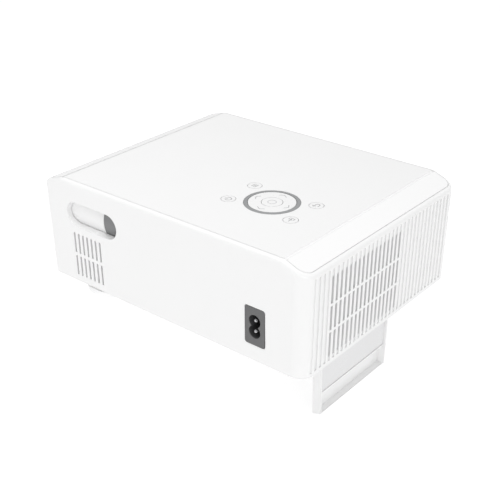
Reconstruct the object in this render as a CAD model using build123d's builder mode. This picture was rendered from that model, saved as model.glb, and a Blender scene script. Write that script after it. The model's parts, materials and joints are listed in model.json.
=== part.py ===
from build123d import *
import os
from math import atan, degrees, sin, cos, radians, tan, pi

# ---------------------------------------------------------------- driving dimensions (mm)
W, D, H = 197.0, 251.5, 87.0        # case at its widest, just under the top rim
DRAFT = 0.79                        # every wall leans in towards the bottom (degrees)
R_REAR, R_FRONT = 11.0, 5.5         # vertical corner radii
WALL = 2.4
RIM = 3.3                           # rounded rim between the wall and the cover seam
GAP = 0.32                          # cover seam
Y_FRONT_BREAK, Y_REAR_BREAK = -109.2, 105.4
FRONT_SLOPE, REAR_SLOPE = 0.31, 0.40
COVER_T = 2.4

RING_X, RING_Y = 31.15, 44.7        # control ring
KEYS = [(46.6, 16.3), (15.7, 16.3), (15.7, 73.1), (46.6, 73.1)]

LENS_X, LENS_Z = 69.0, 59.5         # optical axis, along Y
WIN_Y, WIN_Z, WIN_L, WIN_H = -77.0, 60.0, 54.2, 20.3

PITCH = 5.26                        # rear ribs
RIB_X0 = 68.6
SLOT_W = 2.5

CAS_X0, CAS_X1 = -17.2, 70.3        # filter cassette at the bottom plane
CAS_Y0, CAS_Y1 = 112.9, 119.9
CAS_TOP, CAS_BOT = 12.5, -47.5
CAS_TRAVEL = 47.5

FOOT_X, FOOT_Y, FOOT_R, FOOT_Z = 77.0, -79.0, 22.0, -5.0

DISC_X, DISC_Y = -34.0, -43.0       # centre of the disc when the tray is shut
DRIVE_Z = 28.0

t = tan(radians(DRAFT))


# ---------------------------------------------------------------- helpers
def block(x0, x1, y0, y1, z0, z1, mode=Mode.ADD):
    with Locations(((x0 + x1) / 2, (y0 + y1) / 2, (z0 + z1) / 2)):
        Box(abs(x1 - x0), abs(y1 - y0), abs(z1 - z0), mode=mode)


def rod(axis, a, b, lo, hi, r, mode=Mode.ADD):
    """Cylinder along an axis; a, b are the two other coordinates in x, y, z order."""
    mid = (lo + hi) / 2
    if axis == "z":
        loc = Location((a, b, mid))
    elif axis == "y":
        loc = Location((a, mid, b), (90, 0, 0))
    else:
        loc = Location((mid, a, b), (0, 90, 0))
    with Locations(loc):
        Cylinder(r, hi - lo, mode=mode)


def save(piece, name):
    piece.part.label = name
    export_step(piece.part, "parts/" + name + ".step")


def base_outline(inset, z):
    """Outline of the drafted case at height z, inset from the wall face."""
    w = W - 2 * (H - z) * t - 2 * inset
    d = D - 2 * (H - z) * t - 2 * inset
    Rectangle(w, d)
    rear = [v for v in vertices() if v.Y > 0]
    front = [v for v in vertices() if v.Y < 0]
    fillet(rear, max(R_REAR - inset, 1.0))
    fillet(front, max(R_FRONT - inset, 1.0))


def top_line(drop, bottom=-20.0):
    """Side profile of the case top, lowered by drop, as a closed YZ outline."""
    yf, yr = Y_FRONT_BREAK, Y_REAR_BREAK
    zt = H - drop
    pts = [(-150.0, bottom), (-150.0, zt - FRONT_SLOPE * (150.0 + yf)), (yf, zt),
           (yr, zt), (150.0, zt - REAR_SLOPE * (150.0 - yr)), (150.0, bottom)]
    Polygon(*pts, align=None)
    breaks = [v for v in vertices() if abs(v.Z - zt) < 0.01 or abs(v.Y - zt) < 0.01]
    fillet(breaks, 14.0)


def slab(drop):
    with BuildPart() as p:
        with BuildSketch(Plane.YZ.offset(-130)):
            top_line(drop)
        extrude(amount=260)
    return p.part


def blank(inset, z0=0.0):
    with BuildPart() as p:
        with BuildSketch(Plane.XY.offset(z0)):
            base_outline(inset, z0)
        extrude(amount=H + 3 - z0, taper=-DRAFT)
    return p.part


def prism(inset, z0, z1):
    with BuildPart() as p:
        with BuildSketch(Plane.XY.offset(z0)):
            Rectangle(W - 2 * inset, D - 2 * inset)
            fillet([v for v in vertices() if v.Y > 0], max(R_REAR - inset, 1.2))
            fillet([v for v in vertices() if v.Y < 0], max(R_FRONT - inset, 1.2))
        extrude(amount=z1 - z0)
    return p.part


outer_blank = blank(0.0) & slab(0.0)
rim_edges = [e for e in outer_blank.edges()
             if e.center().Z > 72 and not (abs(e.center().X) < 1 and abs(e.center().Y) < 118)
             and e.bounding_box().size.Z < 40]
rim_edges = [e for e in rim_edges if not (e.bounding_box().size.X > 180 and abs(e.center().Y) < 122)]
try:
    case_blank = outer_blank.fillet(3.2, rim_edges)
except Exception as err:
    print("rim fillet failed:", err)
    case_blank = outer_blank

cavity = blank(WALL, -1.0) & slab(4.0)
cover_space = prism(RIM, 60, 95) - slab(COVER_T + 0.05)
well = prism(7.5, 40, 95)
side_plane = Plane(origin=(W / 2 - H * t, 0, 0), x_dir=(0, 1, 0), z_dir=(cos(radians(DRAFT)), 0, -sin(radians(DRAFT))))
rear_plane = Plane(origin=(0, D / 2 - H * t, 0), x_dir=(-1, 0, 0), z_dir=(0, cos(radians(DRAFT)), -sin(radians(DRAFT))))

# ---------------------------------------------------------------- case
with BuildPart() as body_shell:
    add(case_blank)
    add(cavity, mode=Mode.SUBTRACT)
    add(cover_space, mode=Mode.SUBTRACT)
    add(well, mode=Mode.SUBTRACT)
    # thicker collar round the focus window, and corner posts for the housing screws
    with BuildSketch(Plane.YZ.offset(88.0)):
        with Locations((WIN_Y, WIN_Z)):
            SlotOverall(WIN_L + 5, WIN_H + 5)
    extrude(amount=8.5)
    rod("y", LENS_X, LENS_Z, -108.5, -43.0, 24.9, mode=Mode.SUBTRACT)
    for sx in (-1, 1):
        rod("z", sx * 90.3, 117.0, 2.7, 76.0, 4.0)
        rod("z", sx * 91.0, -118.0, 2.7, 76.0, 4.2)
        rod("z", sx * 90.3, 117.0, 2.0, 20.0, 1.6, mode=Mode.SUBTRACT)
        rod("z", sx * 91.0, -118.0, 2.0, 20.0, 1.6, mode=Mode.SUBTRACT)
    # room for the lens barrel beside the front post
    rod("y", LENS_X, LENS_Z, -119.9, -108.0, 19.65, mode=Mode.SUBTRACT)
    # focus window
    with BuildSketch(Plane.YZ.offset(86)):
        with Locations((WIN_Y, WIN_Z)):
            SlotOverall(WIN_L, WIN_H)
    extrude(amount=16, mode=Mode.SUBTRACT)
    # two rows of narrow vents over the speaker
    with BuildSketch(side_plane.offset(-4)):
        for i in range(7):
            with Locations((-98.3 + 4.72 * i, 34.85)):
                Rectangle(1.8, 17.3)
            with Locations((-98.3 + 4.72 * i, 14.7)):
                Rectangle(1.8, 17.2)
    extrude(amount=8, mode=Mode.SUBTRACT)
    # mains inlet cut-out
    with BuildSketch(Plane.YZ.offset(92)):
        with Locations((82.45, 28.0)):
            RectangleRounded(17.9, 30.5, 2.2)
    extrude(amount=10, mode=Mode.SUBTRACT)
    # rear ribs: shallow grooves over the whole wall
    with BuildSketch(rear_plane.offset(-0.8)):
        for i in range(-4, 31):
            x = RIB_X0 - PITCH * i
            if 0 <= i < 17:
                # in the grille the grooves stop at the slots, so the bars between rows stay flush
                with Locations((-x, 72.6)):
                    Rectangle(SLOT_W, 6.8)
                with Locations((-x, 4.5)):
                    Rectangle(SLOT_W, 3.0)
            else:
                with Locations((-x, 39.5)):
                    Rectangle(SLOT_W, 73.0)
    extrude(amount=6, mode=Mode.SUBTRACT)
    # three rows of grille slots cut right through
    with BuildSketch(rear_plane.offset(-6)):
        for i in range(17):
            x = RIB_X0 - PITCH * i
            for z0, z1 in ((49.0, 69.5), (28.0, 47.1), (5.7, 26.0)):
                with Locations((-x, (z0 + z1) / 2)):
                    Rectangle(SLOT_W, z1 - z0)
    extrude(amount=10, mode=Mode.SUBTRACT)
    # the groove in front of the cover runs out over the rim
    rod("x", Y_FRONT_BREAK, H + 0.55, -100, 100, 1.3, mode=Mode.SUBTRACT)
    # opening for the front panel
    with BuildSketch(Plane.XZ.offset(118)):
        with Locations((0, 41.0)):
            RectangleRounded(172.0, 64.0, 6.0)
        with Locations((LENS_X, LENS_Z)):
            Circle(18.45)
    extrude(amount=12, mode=Mode.SUBTRACT)
    # disc tray mouth and sockets in the far side wall
    block(-104, -92, DISC_Y - 66.3, DISC_Y + 66.3, 40.7, 54.3, mode=Mode.SUBTRACT)
    block(-104, -92, 36.2, 52.2, 12.4, 19.2, mode=Mode.SUBTRACT)
    block(-104, -92, 57.0, 71.2, 12.4, 20.0, mode=Mode.SUBTRACT)
    rod("x", 78.6, 17.0, -104, -92, 4.3, mode=Mode.SUBTRACT)
    rod("x", 90.6, 17.0, -104, -92, 4.3, mode=Mode.SUBTRACT)
save(body_shell, "body_shell")

cover_blank = (prism(RIM + GAP, 60, 95) & slab(0.0)) - slab(COVER_T)

with BuildPart() as top_cover:
    add(cover_blank)
    block(-120, 120, -140, Y_FRONT_BREAK + 0.25, 50, 100, mode=Mode.SUBTRACT)
    rod("z", RING_X, RING_Y, 80, 90, 21.05, mode=Mode.SUBTRACT)
    for kx, ky in KEYS:
        rod("z", kx, ky, 80, 90, 5.65, mode=Mode.SUBTRACT)
    # crease line where the rear slope starts
    rod("x", Y_REAR_BREAK, H + 0.75, -100, 100, 1.6, mode=Mode.SUBTRACT)
save(top_cover, "top_cover")

with BuildPart() as front_strip:
    add(cover_blank)
    block(-120, 120, Y_FRONT_BREAK - 0.25, 140, 50, 100, mode=Mode.SUBTRACT)
save(front_strip, "front_strip")

with BuildPart() as front_panel:
    with BuildSketch(Plane.XZ.offset(122.9)):
        with Locations((0, 41.0)):
            RectangleRounded(171.4, 63.4, 5.7)
        with Locations((LENS_X, LENS_Z)):
            Circle(18.15)
    extrude(amount=2.0)
    with BuildSketch(Plane.XZ.offset(120.9)):
        with Locations((0, 41.0)):
            RectangleRounded(174.6, 67.0, 7.5)
    extrude(amount=1.2)
    with BuildSketch(Plane.XZ.offset(121.5)):
        with Locations((0, 41.0)):
            RectangleRounded(171.4, 63.4, 5.7)
        with Locations((LENS_X, LENS_Z)):
            Circle(18.15)
    extrude(amount=1.6)
    rod("y", LENS_X, LENS_Z, -130, -110, 15.6, mode=Mode.SUBTRACT)
save(front_panel, "front_panel")

with BuildPart() as bottom_cover:
    with BuildSketch(Plane.XY):
        w = W - 2 * H * t - 2 * WALL - 0.5
        d = D - 2 * H * t - 2 * WALL - 0.5
        Rectangle(w, d)
        fillet([v for v in vertices() if v.Y > 0], R_REAR - WALL)
        fillet([v for v in vertices() if v.Y < 0], R_FRONT - WALL)
    extrude(amount=2.6)
    # cassette slot
    block(CAS_X0 - 1.0, CAS_X1 + 1.0, CAS_Y0 - 0.6, CAS_Y1 + 0.5, -1, 4, mode=Mode.SUBTRACT)
    # bosses for the front feet, the tripod insert and the rear feet
    for sx in (-1, 1):
        rod("z", sx * FOOT_X, FOOT_Y, 2.0, 7.0, 7.0)
        rod("z", sx * FOOT_X, FOOT_Y, -1.0, 8.0, 4.3, mode=Mode.SUBTRACT)
        rod("z", sx * 80.0, 102.0, -1.0, 1.2, 8.1, mode=Mode.SUBTRACT)
        rod("z", sx * 90.3, 117.0, -1.0, 4.0, 1.7, mode=Mode.SUBTRACT)
        rod("z", sx * 91.0, -118.0, -1.0, 4.0, 1.7, mode=Mode.SUBTRACT)
        rod("z", sx * 90.3, 117.0, -1.0, 1.3, 3.1, mode=Mode.SUBTRACT)
        rod("z", sx * 91.0, -118.0, -1.0, 1.3, 3.1, mode=Mode.SUBTRACT)
    rod("z", 0, 0, 2.0, 7.4, 8.5)
    rod("z", 0, 0, -1.0, 6.5, 6.0, mode=Mode.SUBTRACT)
    # standoffs
    for x, y, z in ((-88, -100, DRIVE_Z), (30, -100, DRIVE_Z), (-88, 14, DRIVE_Z), (30, 14, DRIVE_Z),
                    (50, -30, 39.0), (86, -30, 39.0), (50, 0, 39.0), (86, 0, 39.0),
                    (56, 60, 32.0), (86, 60, 32.0)):
        rod("z", x, y, 2.0, z, 3.0)
    for x, y in ((-80, -90), (20, -90), (-80, 4), (20, 4), (-50, 36), (8, 36), (-50, 84), (8, 84),
                 (-80, 36), (-68, 36), (-80, 94), (-68, 94)):
        rod("z", x, y, 2.0, 8.0, 2.5)
    block(-6, -2, 93, 106, 2.0, 5.0)
    block(55, 59, 93, 106, 2.0, 5.0)
    # air slots in the underside, near the fan
    for i in range(9):
        block(-2 + 6.2 * i, 1 + 6.2 * i, 60, 84, -1, 4, mode=Mode.SUBTRACT)
save(bottom_cover, "bottom_cover")

with BuildPart() as tripod_insert:
    rod("z", 0, 0, 0.0, 6.4, 5.95)
    rod("z", 0, 0, -1.0, 5.8, 3.17, mode=Mode.SUBTRACT)
save(tripod_insert, "tripod_insert")

with BuildPart() as housing_screws:
    for sx in (-1, 1):
        for x, y in ((sx * 90.3, 117.0), (sx * 91.0, -118.0)):
            rod("z", x, y, 1.3, 14.0, 1.5)
            rod("z", x, y, 0.0, 1.3, 2.9)
            with Locations((x, y, 0.3)):
                Box(3.2, 0.8, 0.8, mode=Mode.SUBTRACT)
                Box(0.8, 3.2, 0.8, mode=Mode.SUBTRACT)
save(housing_screws, "housing_screws")

with BuildPart() as rear_feet:
    for sx in (-1, 1):
        rod("z", sx * 80.0, 102.0, FOOT_Z, 1.2, 8.0)
save(rear_feet, "rear_feet")


def make_foot(sx, name):
    with BuildPart() as foot:
        with BuildSketch(Plane.XY.offset(FOOT_Z)):
            with Locations((sx * FOOT_X, FOOT_Y)):
                Circle(FOOT_R - 0.5)
        with BuildSketch(Plane.XY.offset(-0.6)):
            with Locations((sx * FOOT_X, FOOT_Y)):
                Circle(FOOT_R)
        loft()
        rod("z", sx * FOOT_X, FOOT_Y, -1.0, 12.0, 3.9)
        rod("z", sx * FOOT_X, FOOT_Y, FOOT_Z - 1, FOOT_Z + 0.8, 17.0, mode=Mode.SUBTRACT)
    save(foot, name)


make_foot(1, "front_foot_right")
make_foot(-1, "front_foot_left")

# ---------------------------------------------------------------- controls
with BuildPart() as control_ring:
    with BuildSketch(Plane.XZ):
        Polygon((18.0, 83.0), (22.9, 83.0), (22.9, 84.5), (20.85, 84.5), (20.85, 87.0),
                (18.55, 87.4), (18.0, 87.25), align=None)
    revolve(axis=Axis.Z)
control_ring.part.location = Location((RING_X, RING_Y, 0))
save(control_ring, "control_ring")

with BuildPart() as nav_pad:
    rod("z", RING_X, RING_Y, 81.8, 87.1, 17.65)
    rod("z", RING_X, RING_Y, 81.8, 82.7, 18.9)
    rod("z", RING_X, RING_Y, 80.0, 84.9, 15.9, mode=Mode.SUBTRACT)
    for a in range(4):
        rod("z", RING_X + 12 * cos(a * pi / 2), RING_Y + 12 * sin(a * pi / 2), 81.0, 85.2, 1.6)
    rod("z", RING_X, RING_Y, 80.0, 90.0, 8.1, mode=Mode.SUBTRACT)
save(nav_pad, "nav_pad")

with BuildPart() as ok_button:
    rod("z", RING_X, RING_Y, 81.5, 87.1, 7.75)
    rod("z", RING_X, RING_Y, 81.5, 82.2, 9.0)
    rod("z", RING_X, RING_Y, 81.0, 84.0, 2.0)
save(ok_button, "ok_button")


def make_key(x, y, name):
    with BuildPart() as key:
        rod("z", x, y, 83.2, 87.0, 5.35)
        rod("z", x, y, 83.2, 84.2, 6.7)
        rod("z", x, y, 81.0, 83.5, 2.0)
    save(key, name)


for (kx, ky), kname in zip(KEYS, ("key_power", "key_menu", "key_back", "key_source")):
    make_key(kx, ky, kname)

with BuildPart() as key_board:
    block(8, 56, 9, 81, 75.6, 77.2)
save(key_board, "key_board")

with BuildPart() as key_switches:
    spots = [(RING_X + 12 * cos(a * pi / 2), RING_Y + 12 * sin(a * pi / 2)) for a in range(4)]
    spots += [(RING_X, RING_Y)] + KEYS
    for x, y in spots:
        block(x - 3, x + 3, y - 3, y + 3, 77.2, 79.8)
        rod("z", x, y, 79.6, 80.3, 1.7)
save(key_switches, "key_switches")

# ---------------------------------------------------------------- mains inlet
with BuildPart() as mains_inlet:
    with BuildSketch(Plane.YZ.offset(93.0)):
        with Locations((82.45, 28.0)):
            RectangleRounded(17.3, 29.9, 2.0)
    extrude(amount=4.95)
    block(91.0, 94.4, 73.4, 94.4, 9.5, 46.5)
    block(74.0, 92.0, 75.2, 89.7, 15.5, 40.5)
    for z in (23.8, 32.2):
        rod("x", 82.4, z, 86.0, 99.0, 5.0, mode=Mode.SUBTRACT)
    block(86.0, 99.0, 79.5, 85.3, 24.5, 31.5, mode=Mode.SUBTRACT)
    for z in (23.7, 32.3):
        rod("x", 82.4, z, 72.0, 99.0, 1.2, mode=Mode.SUBTRACT)
save(mains_inlet, "mains_inlet")

with BuildPart() as inlet_pins:
    for z in (23.7, 32.3):
        rod("x", 82.4, z, 70.0, 96.4, 1.17)
        rod("x", 82.4, z, 96.0, 97.1, 0.85)
save(inlet_pins, "inlet_pins")

# ---------------------------------------------------------------- optics
with BuildPart() as focus_ring:
    rod("y", LENS_X, LENS_Z, -107.6, -68.1, 24.6)
    rod("y", LENS_X, LENS_Z, -112.0, -60.0, 22.35, mode=Mode.SUBTRACT)
save(focus_ring, "focus_ring")

with BuildPart() as lens_barrel:
    rod("y", LENS_X, LENS_Z, -112.0, -36.0, 22.0)
    rod("y", LENS_X, LENS_Z, -67.7, -44.0, 24.6)
    rod("y", LENS_X, LENS_Z, -123.6, -110.0, 15.0)
    rod("y", LENS_X, LENS_Z, -119.4, -110.0, 19.3)
    rod("y", LENS_X, LENS_Z, -117.8, -30.0, 18.7, mode=Mode.SUBTRACT)
    rod("y", LENS_X, LENS_Z, -125.0, -110.0, 13.8, mode=Mode.SUBTRACT)
save(lens_barrel, "lens_barrel")

with BuildPart() as lens_cell:
    rod("y", LENS_X, LENS_Z, -114.5, -52.0, 18.3)
    rod("y", LENS_X, LENS_Z, -120.0, -50.0, 14.6, mode=Mode.SUBTRACT)
    rod("y", LENS_X, LENS_Z, -114.6, -107.0, 16.6, mode=Mode.SUBTRACT)
    rod("y", LENS_X, LENS_Z, -60.0, -51.0, 16.6, mode=Mode.SUBTRACT)
save(lens_cell, "lens_cell")


def sag(r, bulge):
    """Drop of a spherical face at half its aperture radius."""
    big = (r * r + bulge * bulge) / (2 * bulge)
    return big - (big * big - r * r / 4) ** 0.5


def lens(y0, y1, r, bulge0, bulge1):
    """Round lens about the optical axis, revolved from its half section."""
    with BuildPart() as p:
        with BuildSketch(Plane.XY):
            with BuildLine():
                Line((0, y0 - bulge0), (0, y1 + bulge1))
                if bulge1 > 0:
                    ThreePointArc((0, y1 + bulge1), (r / 2, y1 + bulge1 - sag(r, bulge1)), (r, y1))
                else:
                    Line((0, y1), (r, y1))
                Line((r, y1), (r, y0))
                if bulge0 > 0:
                    ThreePointArc((r, y0), (r / 2, y0 - bulge0 + sag(r, bulge0)), (0, y0 - bulge0))
                else:
                    Line((r, y0), (0, y0))
            make_face()
        revolve(axis=Axis.Y)
    p.part.location = Location((LENS_X, 0, LENS_Z))
    return p


front_lens = lens(-111.0, -107.5, 16.5, 2.0, 0.0)
save(front_lens, "front_lens")
rear_lens = lens(-59.4, -56.0, 16.5, 0.0, 2.5)
save(rear_lens, "rear_lens")

with BuildPart() as engine_box:
    block(44, 93, -36, 6, 39, 78)
    block(46.2, 90.8, -33.8, 3.8, 41.2, 79, mode=Mode.SUBTRACT)
    rod("y", LENS_X, LENS_Z, -38, -30, 18.0, mode=Mode.SUBTRACT)
    rod("y", LENS_X, LENS_Z, 2, 8, 13.0, mode=Mode.SUBTRACT)
save(engine_box, "engine_box")

with BuildPart() as engine_lid:
    block(44, 93, -36, 6, 78, 79.6)
    for i in range(6):
        block(52 + 6 * i, 54 + 6 * i, -28, -8, 77, 80, mode=Mode.SUBTRACT)
save(engine_lid, "engine_lid")

with BuildPart() as lcd_panel:
    block(46.4, 90.6, -19.5, -17.0, 41.4, 77.6)
    block(50.0, 88.0, -20, -18.6, 45, 74, mode=Mode.SUBTRACT)
save(lcd_panel, "lcd_panel")

with BuildPart() as fresnel_lenses:
    block(46.4, 90.6, -26.0, -24.4, 41.4, 77.6)
    block(46.4, 90.6, -12.0, -10.4, 41.4, 77.6)
save(fresnel_lenses, "fresnel_lenses")

condenser = lens(-2.5, 2.0, 16.0, 3.0, 0.0)
save(condenser, "condenser_lens")

with BuildPart() as light_tunnel:
    with BuildSketch(Plane.XZ.offset(-6.0)):
        with Locations((LENS_X, LENS_Z)):
            Rectangle(32, 30)
    with BuildSketch(Plane.XZ.offset(-31.0)):
        with Locations((LENS_X, LENS_Z)):
            Rectangle(15, 15)
    loft()
    with BuildSketch(Plane.XZ.offset(-5.9)):
        with Locations((LENS_X, LENS_Z)):
            Rectangle(29, 27)
    with BuildSketch(Plane.XZ.offset(-31.1)):
        with Locations((LENS_X, LENS_Z)):
            Rectangle(12, 12)
    loft(mode=Mode.SUBTRACT)
save(light_tunnel, "light_tunnel")

with BuildPart() as led_module:
    block(57.0, 81.0, 32.4, 34.2, 47.5, 71.5)
    block(64.0, 74.0, 31.2, 32.5, 54.5, 64.5)
save(led_module, "led_module")

with BuildPart() as heatsink:
    block(50, 92, 34.2, 38.4, 32, 73)
    for i in range(9):
        block(50 + 5.05 * i, 51.6 + 5.05 * i, 38, 73, 32, 73)
save(heatsink, "heatsink")

# ---------------------------------------------------------------- fan
FX, FZ = 26.5, 40.0
with BuildPart() as fan_frame:
    block(FX - 35, FX + 35, 92, 107, FZ - 35, FZ + 35)
    rod("y", FX, FZ, 90, 109, 33.0, mode=Mode.SUBTRACT)
    rod("y", FX, FZ, 92, 94, 13.0)
    for a in (20, 140, 260):
        with Locations(Location((FX + 23 * cos(radians(a)), 93.0, FZ + 23 * sin(radians(a))), (0, -a, 0))):
            Box(24, 2.0, 3.0)
    for sx in (-1, 1):
        for sz in (-1, 1):
            rod("y", FX + sx * 31, FZ + sz * 31, 90, 109, 2.0, mode=Mode.SUBTRACT)
save(fan_frame, "fan_frame")

with BuildPart() as fan_rotor:
    rod("y", FX, FZ, 94.6, 105.5, 14.0)
    for i in range(7):
        a = i * 360 / 7
        with Locations(Location((FX + 22 * cos(radians(a)), 100.0, FZ + 22 * sin(radians(a))), (0, -a, 0))):
            with Locations(Location((0, 0, 0), (35, 0, 0))):
                Box(18.6, 1.4, 13.0)
save(fan_rotor, "fan_rotor")

# ---------------------------------------------------------------- filter cassette
with BuildPart() as filter_cassette:
    slope = 1.35 / 46.0
    zt, zb = CAS_TOP, CAS_BOT
    xl, xr = CAS_X0, CAS_X1
    with BuildSketch(Plane.XZ.offset(-CAS_Y1)):
        Polygon((xl - slope * zt, zt), (xl - slope * zb, zb), (xr + slope * zb, zb), (xr + slope * zt, zt), align=None)
    extrude(amount=CAS_Y1 - CAS_Y0)
    # bevelled underside
    with BuildSketch(Plane.YZ.offset(CAS_X0 - 5)):
        Polygon((CAS_Y0 - 1, zb + 0.2), (CAS_Y1 + 1, zb + 2.9), (CAS_Y1 + 1, zb - 3), (CAS_Y0 - 1, zb - 3), align=None)
    extrude(amount=110, mode=Mode.SUBTRACT)
    # open face: recess for the filter, then the finger pocket under the ledge
    wl = lambda z: xl - slope * z + 1.2
    wr = lambda z: xr + slope * z - 1.2
    z_ledge = -28.0
    with BuildSketch(Plane.XZ.offset(-(CAS_Y1 + 1))):
        Polygon((wl(zt - 1.5), zt - 1.5), (wl(z_ledge + 0.2), z_ledge + 0.2), (wr(z_ledge + 0.2), z_ledge + 0.2),
                (wr(zt - 1.5), zt - 1.5), align=None)
    extrude(amount=CAS_Y1 + 1 - 114.3, mode=Mode.SUBTRACT)
    with BuildSketch(Plane.XZ.offset(-(CAS_Y1 + 1))):
        Polygon((wl(z_ledge - 1.2), z_ledge - 1.2), (wl(zb + 2.4), zb + 2.4), (wr(zb + 2.4), zb + 2.4),
                (wr(z_ledge - 1.2), z_ledge - 1.2), align=None)
    extrude(amount=CAS_Y1 + 1 - 114.1, mode=Mode.SUBTRACT)
    block(xl - 3, xr + 3, CAS_Y1 - 1.2, CAS_Y1 + 1, z_ledge - 1.3, z_ledge + 0.3, mode=Mode.SUBTRACT)
    for sgn, wall in ((1, wl), (-1, wr)):
        x0 = wall(z_ledge) if sgn < 0 else wall(z_ledge) - 1.2
        block(x0 - 0.02, x0 + 1.2, CAS_Y1 - 1.4, CAS_Y1, z_ledge - 1.4, z_ledge + 0.4)
    # air openings in the inner wall, behind the foam
    for i in range(9):
        for z0, z1 in ((-25.5, -9.0), (-6.5, 9.0)):
            block(xl + 4.6 + 9.0 * i, xl + 11.2 + 9.0 * i, CAS_Y0 - 1, 114.5, z0, z1, mode=Mode.SUBTRACT)
save(filter_cassette, "filter_cassette")

with BuildPart() as filter_foam:
    with BuildSketch(Plane.XZ.offset(-118.1)):
        g = 0.15
        Polygon((wl(zt - 1.5) + g, zt - 1.6), (wl(z_ledge + 0.4) + g, z_ledge + 0.4),
                (wr(z_ledge + 0.4) - g, z_ledge + 0.4), (wr(zt - 1.5) - g, zt - 1.6), align=None)
    extrude(amount=118.1 - 114.3)
save(filter_foam, "filter_foam")

with BuildPart() as filter_rails:
    for x0, x1 in ((CAS_X0 - 5.0, CAS_X0 - 1.2), (CAS_X1 + 1.2, CAS_X1 + 5.0)):
        block(x0, x1, 110.0, 121.2, 2.6, 62.5)
    block(CAS_X0 - 5.0, CAS_X1 + 5.0, 110.0, 121.2, 60.5, 62.5)
save(filter_rails, "filter_rails")

# ---------------------------------------------------------------- disc drive
with BuildPart() as drive_chassis:
    block(-95.0, 41.5, -110.5, 24.5, DRIVE_Z, DRIVE_Z + 1.4)
    block(-95.0, 41.5, -110.5, -109.0, DRIVE_Z, 54.4)
    block(-95.0, 41.5, 23.0, 24.5, DRIVE_Z, 54.4)
    block(40.0, 41.5, -110.5, 24.5, DRIVE_Z, 54.4)
    # shelves the tray runs on
    block(-94.0, 40.5, -109.5, -105.4, 41.2, 42.6)
    block(-94.0, 40.5, 19.4, 23.5, 41.2, 42.6)
    # frame round the pickup
    block(-60, 40, DISC_Y - 28, DISC_Y - 25.5, DRIVE_Z, 34.0)
    block(-60, 40, DISC_Y + 31.0, DISC_Y + 33.5, DRIVE_Z, 34.0)
save(drive_chassis, "drive_chassis")

with BuildPart() as drive_lid:
    block(-95.0, 41.5, -110.5, 24.5, 54.4, 55.4)
    rod("z", DISC_X, DISC_Y, 50, 60, 6.0, mode=Mode.SUBTRACT)
save(drive_lid, "drive_lid")

with BuildPart() as disc_tray:
    block(-95.6, 39.4, -108.4, 22.4, 43.0, 48.6)
    rod("z", DISC_X, DISC_Y, 45.4, 60, 60.7, mode=Mode.SUBTRACT)
    rod("z", DISC_X, DISC_Y, 44.4, 60, 41.0, mode=Mode.SUBTRACT)
    block(DISC_X, 60, DISC_Y - 20, DISC_Y + 20, 30, 60, mode=Mode.SUBTRACT)
    rod("z", DISC_X, DISC_Y, 30, 60, 20.0, mode=Mode.SUBTRACT)
save(disc_tray, "disc_tray")

# rack for the loading gear, fixed under the tray
with BuildPart() as tray_rack:
    block(-95.0, 39.0, -0.6, 2.1, 40.8, 43.0)
save(tray_rack, "tray_rack")

with BuildPart() as tray_fascia:
    block(-99.5, -95.6, DISC_Y - 66.0, DISC_Y + 66.0, 41.0, 54.0)
    add(blank(0.0), mode=Mode.INTERSECT)
    block(-99.5, -97.0, DISC_Y - 18.0, DISC_Y + 18.0, 40.0, 42.2, mode=Mode.SUBTRACT)
save(tray_fascia, "tray_fascia")

with BuildPart() as spindle_motor:
    rod("z", DISC_X, DISC_Y, DRIVE_Z + 1.4, 40.4, 13.0)
    rod("z", DISC_X, DISC_Y, 40.0, 41.6, 2.6)
save(spindle_motor, "spindle_motor")

with BuildPart() as turntable:
    rod("z", DISC_X, DISC_Y, 42.0, 46.0, 14.0)
    rod("z", DISC_X, DISC_Y, 46.0, 48.0, 7.3)
save(turntable, "turntable")

with BuildPart() as disc_clamp:
    rod("z", DISC_X, DISC_Y, 50.4, 53.4, 14.5)
    rod("z", DISC_X, DISC_Y, 53.0, 56.2, 5.6)
    rod("z", DISC_X, DISC_Y, 56.0, 57.2, 8.5)
save(disc_clamp, "disc_clamp")

with BuildPart() as pickup_sled:
    block(-18, 6, DISC_Y - 20, DISC_Y + 18, 33.5, 39.4)
    rod("z", -8.5, DISC_Y, 39.0, 41.6, 4.0)
    block(-13, -4, DISC_Y + 17, DISC_Y + 22.2, 33.5, 38.0)
    for dy in (-16, 15):
        rod("x", DISC_Y + dy, 36.3, -30, 20, 1.55, mode=Mode.SUBTRACT)
save(pickup_sled, "pickup_sled")

with BuildPart() as guide_rods:
    for dy in (-16, 15):
        rod("x", DISC_Y + dy, 36.3, -20.3, 40.0, 1.5)
save(guide_rods, "guide_rods")

with BuildPart() as lead_screw:
    rod("x", DISC_Y + 24.5, 36.3, -20.0, 38.6, 1.6)
    for i in range(18):
        rod("x", DISC_Y + 24.5, 36.3, -16.0 + 3.0 * i, -14.6 + 3.0 * i, 2.1)
save(lead_screw, "lead_screw")

with BuildPart() as sled_motor:
    rod("x", DISC_Y + 24.5, 36.3, -38.0, -20.4, 5.6)
    block(-37.0, -21.5, DISC_Y + 20.5, DISC_Y + 28.5, DRIVE_Z + 1.4, 33.0)
save(sled_motor, "sled_motor")

GEAR_X, GEAR_Y, GEAR_R = -82.0, 10.5, 8.0
with BuildPart() as loading_gear:
    with BuildSketch(Plane.XY.offset(40.8)):
        with Locations((GEAR_X, GEAR_Y)):
            Circle(GEAR_R - 0.9)
            with PolarLocations(GEAR_R - 0.9, 20):
                Rectangle(2.0, 1.2)
    extrude(amount=1.5)
    rod("z", GEAR_X, GEAR_Y, 33.0, 41.0, 4.0)
save(loading_gear, "loading_gear")

with BuildPart() as loading_motor:
    rod("z", GEAR_X, GEAR_Y, DRIVE_Z + 1.4, 32.6, 7.5)
save(loading_motor, "loading_motor")

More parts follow.
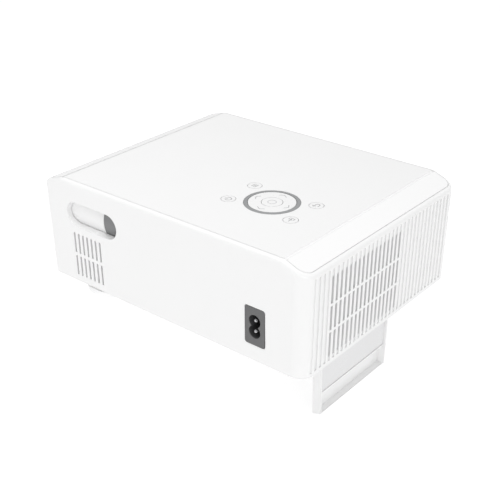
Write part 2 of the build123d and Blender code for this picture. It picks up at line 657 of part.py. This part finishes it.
# ---------------------------------------------------------------- boards, sockets, speaker
with BuildPart() as main_board:
    block(-84, 36, -96, 10, 8.0, 9.6)
    rod("z", -FOOT_X, FOOT_Y, 7, 11, 6.0, mode=Mode.SUBTRACT)
    block(-40, -12, -60, -32, 9.5, 12.5)
    block(-2, 16, -56, -38, 9.5, 11.2)
    block(-60, -46, -84, -72, 9.5, 11.2)
    for i in range(5):
        rod("z", 6 + 0.01, -88 + 9 * i, 9.5, 17.0, 2.8)
    for i in range(3):
        block(-80, -68, -50 + 16 * i, -40 + 16 * i, 9.5, 15.5)
save(main_board, "main_board")

with BuildPart() as power_board:
    block(-56, 14, 30, 90, 8.0, 9.6)
    block(-30, -6, 44, 68, 9.5, 30.0)
    rod("z", -44, 50, 9.5, 36.0, 8.0)
    rod("z", -44, 74, 9.5, 30.0, 6.0)
    rod("z", 4, 78, 9.5, 25.0, 5.0)
    block(-2, 1, 36, 60, 9.5, 32.0)
    block(-30, -14, 74, 84, 9.5, 22.0)
save(power_board, "power_board")

with BuildPart() as port_board:
    block(-92, -62, 32, 98, 10.0, 11.6)
    block(-76, -66, 56, 66, 11.5, 13.2)
    for px, py in ((-80, 36), (-68, 36), (-80, 94), (-68, 94)):
        rod("z", px, py, 8.0, 10.1, 2.5)
save(port_board, "port_board")

with BuildPart() as hdmi_socket:
    block(-96.6, -84, 36.9, 51.5, 13.0, 18.6)
    block(-97.5, -86.5, 37.6, 50.8, 13.7, 17.9, mode=Mode.SUBTRACT)
    block(-93, -84, 38, 50.4, 11.6, 13.1)
    block(-95.4, -85, 39.5, 48.9, 15.4, 16.3)
save(hdmi_socket, "hdmi_socket")

with BuildPart() as usb_socket:
    block(-96.6, -80, 57.6, 70.6, 13.0, 19.4)
    block(-97.5, -82, 58.2, 70.0, 13.6, 18.8, mode=Mode.SUBTRACT)
    block(-93, -80, 58.6, 69.6, 11.6, 13.1)
    block(-95.4, -80.5, 59.4, 68.8, 17.1, 18.4)
save(usb_socket, "usb_socket")

with BuildPart() as av_sockets:
    for y in (78.6, 90.6):
        block(-93.5, -80, y - 5, y + 5, 11.6, 22.4)
        rod("x", y, 17.0, -97.0, -93.0, 4.0)
        rod("x", y, 17.0, -98.0, -82.0, 1.8, mode=Mode.SUBTRACT)
save(av_sockets, "av_sockets")

with BuildPart() as speaker:
    rod("x", -84.0, 24.8, 91.0, 93.4, 19.0)
    rod("x", -84.0, 24.8, 84.0, 92.0, 13.0)
    rod("x", -84.0, 24.8, 78.0, 85.0, 10.0)
    with BuildSketch(Plane.YZ.offset(94.0)):
        with Locations((-84.0, 24.8)):
            Circle(16.0)
    with BuildSketch(Plane.YZ.offset(88.0)):
        with Locations((-84.0, 24.8)):
            Circle(6.0)
    loft(mode=Mode.SUBTRACT)
save(speaker, "speaker")
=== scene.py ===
import json
import math
import bmesh
import bpy
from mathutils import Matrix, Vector


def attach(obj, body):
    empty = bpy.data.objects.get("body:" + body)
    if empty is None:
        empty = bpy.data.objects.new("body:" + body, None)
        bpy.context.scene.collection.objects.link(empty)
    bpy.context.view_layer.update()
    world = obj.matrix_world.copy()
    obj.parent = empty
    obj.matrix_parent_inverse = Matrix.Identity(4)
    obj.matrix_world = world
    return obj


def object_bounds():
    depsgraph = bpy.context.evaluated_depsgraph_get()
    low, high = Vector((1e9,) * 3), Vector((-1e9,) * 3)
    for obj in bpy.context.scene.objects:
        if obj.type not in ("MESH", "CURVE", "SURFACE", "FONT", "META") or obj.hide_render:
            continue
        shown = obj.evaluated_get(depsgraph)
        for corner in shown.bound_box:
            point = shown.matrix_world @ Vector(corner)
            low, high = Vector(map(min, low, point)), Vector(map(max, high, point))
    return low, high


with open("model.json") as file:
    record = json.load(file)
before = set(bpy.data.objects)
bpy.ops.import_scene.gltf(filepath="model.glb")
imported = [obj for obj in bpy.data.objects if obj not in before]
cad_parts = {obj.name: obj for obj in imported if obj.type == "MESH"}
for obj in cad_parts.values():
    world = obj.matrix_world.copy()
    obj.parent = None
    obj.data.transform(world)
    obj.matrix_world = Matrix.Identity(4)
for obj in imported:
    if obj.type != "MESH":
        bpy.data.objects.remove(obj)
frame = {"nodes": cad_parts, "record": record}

cad_lo, cad_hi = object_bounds()

MM = 0.001

# ---------------------------------------------------------------- camera
cam_data = bpy.data.cameras.new("camera")
cam = bpy.data.objects.new("camera", cam_data)
bpy.context.scene.collection.objects.link(cam)
target = Vector((34.613, 26.898, 43.5)) * MM
az, el, dist = math.radians(129.115), math.radians(27.376), 719.571 * MM
back = Vector((math.sin(az) * math.cos(el), -math.cos(az) * math.cos(el), math.sin(el)))
cam.location = target + back * dist
cam.rotation_mode = "QUATERNION"
cam.rotation_quaternion = (-back).to_track_quat("-Z", "Y")
cam_data.sensor_width = 36.0
cam_data.lens = 68.818
cam_data.clip_start, cam_data.clip_end = 0.01, 20.0
bpy.context.scene.camera = cam


# ---------------------------------------------------------------- materials
def new_material(name):
    m = bpy.data.materials.new(name)
    m.use_nodes = True
    nt = m.node_tree
    nt.nodes.clear()
    out = nt.nodes.new("ShaderNodeOutputMaterial")
    bsdf = nt.nodes.new("ShaderNodeBsdfPrincipled")
    nt.links.new(bsdf.outputs[0], out.inputs[0])
    return m, nt, bsdf


def coords(nt):
    return nt.nodes.new("ShaderNodeTexCoord").outputs["Object"]


def noise(nt, vec, scale, detail=3.0, rough=0.5):
    n = nt.nodes.new("ShaderNodeTexNoise")
    n.inputs["Scale"].default_value = scale
    n.inputs["Detail"].default_value = detail
    n.inputs["Roughness"].default_value = rough
    nt.links.new(vec, n.inputs["Vector"])
    return n.outputs["Fac"]


def remap(nt, val, lo, hi, a, b):
    r = nt.nodes.new("ShaderNodeMapRange")
    r.inputs["From Min"].default_value = lo
    r.inputs["From Max"].default_value = hi
    r.inputs["To Min"].default_value = a
    r.inputs["To Max"].default_value = b
    nt.links.new(val, r.inputs["Value"])
    return r.outputs["Result"]


def mix(nt, fac, a, b):
    n = nt.nodes.new("ShaderNodeMix")
    n.data_type = "RGBA"
    if isinstance(fac, float):
        n.inputs["Factor"].default_value = fac
    else:
        nt.links.new(fac, n.inputs["Factor"])
    for sock, v in ((n.inputs[6], a), (n.inputs[7], b)):
        if isinstance(v, (tuple, list)):
            sock.default_value = (*v, 1.0) if len(v) == 3 else v
        else:
            nt.links.new(v, sock)
    return n.outputs[2]


def bump(nt, height, strength, distance, normal=None):
    b = nt.nodes.new("ShaderNodeBump")
    b.inputs["Strength"].default_value = strength
    b.inputs["Distance"].default_value = distance
    nt.links.new(height, b.inputs["Height"])
    if normal is not None:
        nt.links.new(normal, b.inputs["Normal"])
    return b.outputs["Normal"]


def rounded(nt, radius):
    n = nt.nodes.new("ShaderNodeBevel")
    n.samples = 4
    n.inputs["Radius"].default_value = radius
    return n.outputs["Normal"]


def plastic(name, colour, rough=0.35, grain=900.0, depth=0.00002, strength=0.25, tint=0.02, coat=0.0,
            edge=0.0004, spec=0.5):
    """Moulded plastic: a fine spark-eroded grain, faint flow marks, slightly uneven gloss, eased edges."""
    m, nt, bsdf = new_material(name)
    vec = coords(nt)
    broad = noise(nt, vec, 18.0, 2.0)
    fine = noise(nt, vec, grain, 2.0)
    dark = tuple(c * (1.0 - tint) for c in colour)
    nt.links.new(mix(nt, remap(nt, broad, 0.3, 0.7, 0.0, 1.0), dark, colour), bsdf.inputs["Base Color"])
    nt.links.new(remap(nt, noise(nt, vec, 55.0, 3.0), 0.3, 0.7, rough - 0.03, rough + 0.03), bsdf.inputs["Roughness"])
    bsdf.inputs["Specular IOR Level"].default_value = spec
    bsdf.inputs["Coat Weight"].default_value = coat
    bsdf.inputs["Coat Roughness"].default_value = 0.08
    nt.links.new(bump(nt, fine, strength, depth, rounded(nt, edge)), bsdf.inputs["Normal"])
    return m


def metal(name, colour, rough=0.3, along=(1.0, 40.0, 40.0), strength=0.15):
    """Brushed or drawn metal: fine streaks along one direction."""
    m, nt, bsdf = new_material(name)
    vec = coords(nt)
    mp = nt.nodes.new("ShaderNodeMapping")
    mp.inputs["Scale"].default_value = along
    nt.links.new(vec, mp.inputs["Vector"])
    streak = noise(nt, mp.outputs["Vector"], 60.0, 4.0)
    dark = tuple(c * 0.86 for c in colour)
    nt.links.new(mix(nt, streak, dark, colour), bsdf.inputs["Base Color"])
    nt.links.new(remap(nt, streak, 0.3, 0.7, rough - 0.05, rough + 0.07), bsdf.inputs["Roughness"])
    bsdf.inputs["Metallic"].default_value = 1.0
    nt.links.new(bump(nt, streak, strength, 0.00002, rounded(nt, 0.0002)), bsdf.inputs["Normal"])
    return m


def glass(name, tint=(0.93, 0.97, 0.98), rough=0.02, grooves=False):
    m, nt, bsdf = new_material(name)
    vec = coords(nt)
    bsdf.inputs["IOR"].default_value = 1.5
    bsdf.inputs["Transmission Weight"].default_value = 1.0
    dust = noise(nt, vec, 120.0, 3.0)
    nt.links.new(mix(nt, remap(nt, dust, 0.4, 0.8, 0.0, 0.5), tint, tuple(c * 0.96 for c in tint)), bsdf.inputs["Base Color"])
    nt.links.new(remap(nt, dust, 0.3, 0.8, rough, rough + 0.03), bsdf.inputs["Roughness"])
    # a thin anti-reflection coating
    bsdf.inputs["Coat Weight"].default_value = 0.6
    bsdf.inputs["Coat Tint"].default_value = (0.70, 0.76, 1.0, 1.0)
    bsdf.inputs["Coat Roughness"].default_value = 0.02
    return m


def foam(name, colour):
    """Open-cell filter foam: small cells, their pores darkened with painted shade."""
    m, nt, bsdf = new_material(name)
    vec = coords(nt)
    v = nt.nodes.new("ShaderNodeTexVoronoi")
    v.inputs["Scale"].default_value = 1500.0
    nt.links.new(vec, v.inputs["Vector"])
    # painted shade: cell centres darkened to stand for the shade in the pores
    painted_pore_shade = remap(nt, v.outputs["Distance"], 0.0, 0.6, 0.0, 1.0)
    col = mix(nt, painted_pore_shade, tuple(c * 0.90 for c in colour), colour)
    nt.links.new(mix(nt, remap(nt, noise(nt, vec, 60.0), 0.35, 0.65, 0.0, 1.0), col, tuple(c * 0.97 for c in colour)),
                 bsdf.inputs["Base Color"])
    nt.links.new(remap(nt, noise(nt, vec, 200.0), 0.3, 0.7, 0.85, 0.98), bsdf.inputs["Roughness"])
    bsdf.inputs["Specular IOR Level"].default_value = 0.2
    nt.links.new(bump(nt, v.outputs["Distance"], 0.25, 0.0003), bsdf.inputs["Normal"])
    return m


def board(name, colour):
    """Circuit board: solder mask with a faint pattern of tracks; raised parts are dark."""
    m, nt, bsdf = new_material(name)
    vec = coords(nt)
    br = nt.nodes.new("ShaderNodeTexBrick")
    br.inputs["Scale"].default_value = 160.0
    br.inputs["Mortar Size"].default_value = 0.02
    nt.links.new(vec, br.inputs["Vector"])
    tracks = mix(nt, remap(nt, noise(nt, vec, 260.0, 1.0), 0.45, 0.55, 0.0, 1.0), colour, tuple(min(1, c * 1.5) for c in colour))
    nt.links.new(mix(nt, br.outputs["Fac"], tracks, tuple(c * 0.6 for c in colour)), bsdf.inputs["Base Color"])
    nt.links.new(remap(nt, noise(nt, vec, 90.0), 0.3, 0.7, 0.3, 0.45), bsdf.inputs["Roughness"])
    return m


def inlet_plastic_painted_recess_shade(name, plate, painted_well_shade, depth_x, radius=0.0):
    """One moulding in two tones: the plate outside, and near-black painted shade inside the socket's recess."""
    m, nt, bsdf = new_material(name)
    vec = coords(nt)
    sep = nt.nodes.new("ShaderNodeSeparateXYZ")
    nt.links.new(vec, sep.inputs[0])
    # painted shade: everything deeper than depth_x, inside the socket's recess, takes the near-black colour
    painted_shade_mask = remap(nt, sep.outputs["X"], depth_x - 0.00005, depth_x + 0.00005, 1.0, 0.0)
    nt.links.new(mix(nt, painted_shade_mask, plate, painted_well_shade), bsdf.inputs["Base Color"])
    fine = noise(nt, vec, 1100.0, 2.0)
    nt.links.new(remap(nt, noise(nt, vec, 60.0), 0.3, 0.7, 0.42, 0.5), bsdf.inputs["Roughness"])
    nt.links.new(bump(nt, fine, 0.3, 0.00003, rounded(nt, 0.0003)), bsdf.inputs["Normal"])
    return m


WHITE = (0.90, 0.90, 0.90)
MATS = {
    "case_white": plastic("case_white", (0.86, 0.86, 0.86), rough=0.34, grain=1100.0, strength=0.08, tint=0.006, coat=0.3),
    "cover_white": plastic("cover_white", (0.87, 0.87, 0.87), rough=0.32, grain=1300.0, strength=0.03, tint=0.004, coat=0.2),
    "control_grey": plastic("control_grey", (0.30, 0.305, 0.31), rough=0.30, grain=1200.0, strength=0.12),
    "key_white": plastic("key_white", (0.86, 0.86, 0.86), rough=0.28, grain=1300.0, strength=0.08, tint=0.01, coat=0.2, edge=0.0003),
    # the inlet's socket recess is painted near-black as shade
    "inlet_grey": inlet_plastic_painted_recess_shade("inlet_grey", (0.118, 0.118, 0.12), (0.058, 0.058, 0.060), 0.0973),
    "pin_metal": metal("pin_metal", (0.54, 0.54, 0.55), rough=0.34),
    "ring_white": plastic("ring_white", (0.90, 0.90, 0.90), rough=0.4, grain=1300.0, strength=0.2),
    "barrel_grey": plastic("barrel_grey", (0.215, 0.217, 0.22), rough=0.5, grain=1100.0, strength=0.25),
    "black_plastic": plastic("black_plastic", (0.03, 0.03, 0.032), rough=0.45, grain=900.0, strength=0.3),
    "lens_glass": glass("lens_glass"),
    "lcd_dark": plastic("lcd_dark", (0.05, 0.055, 0.06), rough=0.12, strength=0.03, coat=0.5),
    "metal_sheet": metal("metal_sheet", (0.66, 0.67, 0.68), rough=0.32, along=(1.0, 30.0, 30.0)),
    "alu_fins": metal("alu_fins", (0.80, 0.81, 0.82), rough=0.35, along=(30.0, 1.0, 30.0)),
    "led_yellow": plastic("led_yellow", (0.75, 0.60, 0.16), rough=0.3),
    "board_green": board("board_green", (0.03, 0.16, 0.07)),
    "steel": metal("steel", (0.60, 0.60, 0.61), rough=0.28, along=(1.0, 30.0, 30.0)),
    "brass": metal("brass", (0.80, 0.62, 0.30), rough=0.3),
    "rubber_grey": plastic("rubber_grey", (0.12, 0.12, 0.122), rough=0.8, grain=700.0, strength=0.5),
    "foam_grey": foam("foam_grey", (0.80, 0.80, 0.805)),
    "cassette_white": plastic("cassette_white", (0.89, 0.89, 0.89), rough=0.42, grain=1000.0, strength=0.2),
}
PRINT = plastic("print_grey", (0.30, 0.305, 0.31), rough=0.5, strength=0.05, edge=0.00002)
PALE = plastic("print_pale", (0.62, 0.62, 0.63), rough=0.5, strength=0.05, edge=0.00002)
FAINT = plastic("print_faint", (0.42, 0.425, 0.43), rough=0.5, strength=0.05, edge=0.00002)

slot_of = {s["node"]: s["material_slot"] for s in frame["record"]["subparts"]}
# the same white plastic, painted paler on the front feet as painted light against the shade under the body, and a
# little darker on the front strip as painted shade
FOOT_PAINTED_LIGHT = plastic("foot_white_painted_light", (0.93, 0.93, 0.93), rough=0.4, grain=1000.0, strength=0.08, tint=0.006)
# painted shade: the front strip is a darker copy of the cover's white
STRIP_PAINTED_SHADE = plastic("strip_white_painted_shade", (0.845, 0.845, 0.845), rough=0.32, grain=1300.0, strength=0.03, tint=0.004, coat=0.2)
OWN = {"front_foot_right": FOOT_PAINTED_LIGHT, "front_foot_left": FOOT_PAINTED_LIGHT, "front_strip": STRIP_PAINTED_SHADE}
for node, ob in frame["nodes"].items():
    mat = OWN.get(node) or MATS[slot_of[node]]
    ob.data.materials.clear()
    ob.data.materials.append(mat)


# ---------------------------------------------------------------- helpers for pieces
def mesh_object(name, verts, faces, mat, body, smooth=False):
    me = bpy.data.meshes.new(name)
    me.from_pydata(verts, [], faces)
    me.update()
    ob = bpy.data.objects.new(name, me)
    bpy.context.scene.collection.objects.link(ob)
    me.materials.append(mat)
    if smooth:
        for p in me.polygons:
            p.use_smooth = True
    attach(ob, body)
    return ob


def stroke(points, width, z0, z1, closed=False):
    """A raised line of constant width in the plane z, as verts and faces (a thin solid print)."""
    n = len(points)
    left, right = [], []
    for i, p in enumerate(points):
        a = points[(i - 1) % n] if (closed or i > 0) else p
        b = points[(i + 1) % n] if (closed or i < n - 1) else p
        d = (Vector(b) - Vector(a)).normalized()
        nrm = Vector((-d.y, d.x))
        left.append(Vector(p) + nrm * width / 2)
        right.append(Vector(p) - nrm * width / 2)
    verts, faces = [], []
    for z in (z0, z1):
        for q in left + right:
            verts.append((q.x * MM, q.y * MM, z * MM))
    m = 2 * n
    count = n if closed else n - 1
    for i in range(count):
        j = (i + 1) % n
        faces.append((m + i, m + n + i, m + n + j, m + j))          # top
        faces.append((i, j, n + j, n + i))                          # bottom
        faces.append((i, m + i, m + j, j))
        faces.append((n + i, n + j, m + n + j, m + n + i))
    if not closed:
        faces.append((0, n, m + n, m))
        faces.append((n - 1, m + n - 1, m + 2 * n - 1, 2 * n - 1))
    return verts, faces


def print_strokes(name, strokes, width, z0, z1, mat, body):
    verts, faces = [], []
    for pts, closed in strokes:
        v, f = stroke(pts, width, z0, z1, closed)
        off = len(verts)
        verts += v
        faces += [tuple(i + off for i in q) for q in f]
    return mesh_object(name, verts, faces, mat, body)


def arc(cx, cy, r, a0, a1, n=24):
    return [(cx + r * math.cos(math.radians(a0 + (a1 - a0) * i / (n - 1))),
             cy + r * math.sin(math.radians(a0 + (a1 - a0) * i / (n - 1)))) for i in range(n)]


def ring(cx, cy, r, n=64):
    return [(cx + r * math.cos(2 * math.pi * i / n), cy + r * math.sin(2 * math.pi * i / n)) for i in range(n)]


# ---------------------------------------------------------------- prints on the control ring and keys
RX, RY = 31.15, 44.7
TOP = 87.1
chevrons = []
for k in range(4):
    a = math.radians(90 * k)
    ca, sa = math.cos(a), math.sin(a)
    pts = [(14.2 * 1.0, 0.0)]
    tip, half, rise = 15.0, 3.3, 2.2
    raw = [(tip - rise, half), (tip, 0.0), (tip - rise, -half)]
    chevrons.append(([(RX + x * ca - y * sa, RY + x * sa + y * ca) for x, y in raw], False))
print_strokes("pad_chevrons", chevrons, 0.6, TOP - 0.02, TOP + 0.05, FAINT, "nav")
print_strokes("ok_mark", [(ring(RX, RY, 3.1), True)], 0.8, TOP - 0.02, TOP + 0.05, PALE, "ok")

KEYS = {"key_power": ("power_key", 46.6, 16.3), "key_menu": ("menu_key", 15.7, 16.3),
        "key_back": ("back_key", 15.7, 73.1), "key_source": ("source_key", 46.6, 73.1)}
KT = 87.0


def turned(pts, deg):
    c, s = math.cos(math.radians(deg)), math.sin(math.radians(deg))
    return [(x * c - y * s, x * s + y * c) for x, y in pts]


def at(pts, x, y, deg=180.0):
    return [(x + px, y + py) for px, py in turned(pts, deg)]


icons = {
    # a broken circle with a bar
    "key_power": [(arc(0, 0, 2.4, 125, 415, 28), False), ([(0, 0.6), (0, 3.0)], False)],
    # three lines
    "key_menu": [([(-2.4, y), (2.4, y)], False) for y in (1.6, 0.0, -1.6)],
    # a bent arrow back
    "key_back": [([(-0.8, 2.6), (-2.6, 1.2), (-0.8, -0.2)], False), ([(-2.4, 1.2), (1.0, 1.2)], False),
                 (arc(1.0, -0.4, 1.6, 90, -90, 14), False), ([(1.0, -2.0), (-1.4, -2.0)], False)],
    # a box with an arrow into it
    "key_source": [([(0.2, 2.0), (2.6, 2.0), (2.6, -2.0), (0.2, -2.0)], False), ([(-2.8, 0), (1.0, 0)], False),
                   ([(-0.2, 1.1), (1.0, 0), (-0.2, -1.1)], False)],
}
for key, (body, kx, ky) in KEYS.items():
    print_strokes(key + "_icon", [(at(p, kx, ky), c) for p, c in icons[key]], 0.5, KT - 0.02, KT + 0.05, PRINT, body)

# ---------------------------------------------------------------- floor and light
floor_z = cad_lo[2] - 0.0002
R = 6.0
me = bpy.data.meshes.new("floor")
me.from_pydata([(-R, -R, floor_z), (R, -R, floor_z), (R, R, floor_z), (-R, R, floor_z)], [], [(0, 1, 2, 3)])
floor = bpy.data.objects.new("floor", me)
bpy.context.scene.collection.objects.link(floor)
fm, nt, bsdf = new_material("floor_pale")
nt.links.new(mix(nt, noise(nt, coords(nt), 3.0), (0.40, 0.40, 0.40), (0.42, 0.42, 0.42)), bsdf.inputs["Base Color"])
bsdf.inputs["Roughness"].default_value = 0.9
bsdf.inputs["Specular IOR Level"].default_value = 0.1
# a back-lit white sweep, as on a light table
bsdf.inputs["Emission Color"].default_value = (1.0, 1.0, 1.0, 1.0)
bsdf.inputs["Emission Strength"].default_value = 0.70
me.materials.append(fm)

world = bpy.data.worlds.new("studio")
bpy.context.scene.world = world
world.use_nodes = True
bg = world.node_tree.nodes["Background"]
# a soft studio sky: bright overhead, darker towards the horizon
wt = world.node_tree
sp = wt.nodes.new("ShaderNodeSeparateXYZ")
wt.links.new(wt.nodes.new("ShaderNodeTexCoord").outputs["Generated"], sp.inputs[0])
# bright overhead, and dimmer on the lens side of the room
sky = remap(wt, sp.outputs["Z"], 0.0, 0.75, 0.64, 0.84)
side = remap(wt, sp.outputs["Y"], -0.85, -0.05, 0.42, 1.0)
mul = wt.nodes.new("ShaderNodeMath")
mul.operation = "MULTIPLY"
wt.links.new(sky, mul.inputs[0])
wt.links.new(side, mul.inputs[1])
sky = mul.outputs[0]
wt.links.new(sky, bg.inputs["Strength"])
bg.inputs["Color"].default_value = (1.0, 1.0, 1.0, 1.0)


def softbox(name, loc, aim, size, power):
    li = bpy.data.lights.new(name, "AREA")
    li.shape = "RECTANGLE"
    li.size, li.size_y = size
    li.energy = power
    ob = bpy.data.objects.new(name, li)
    bpy.context.scene.collection.objects.link(ob)
    ob.location = loc
    ob.rotation_mode = "QUATERNION"
    ob.rotation_quaternion = (Vector(aim) - Vector(loc)).to_track_quat("-Z", "Y")
    return ob


softbox("key_top", (0.25, -0.25, 1.05), (0.03, 0.0, 0.05), (0.9, 0.9), 6.1)
softbox("corner_strip", (0.95, 1.25, 0.22), (0.09, 0.12, 0.04), (0.3, 0.9), 3.9)

bpy.context.scene.view_settings.view_transform = "Standard"
bpy.context.scene.view_settings.look = "None"
bpy.context.scene.view_settings.exposure = 0.0
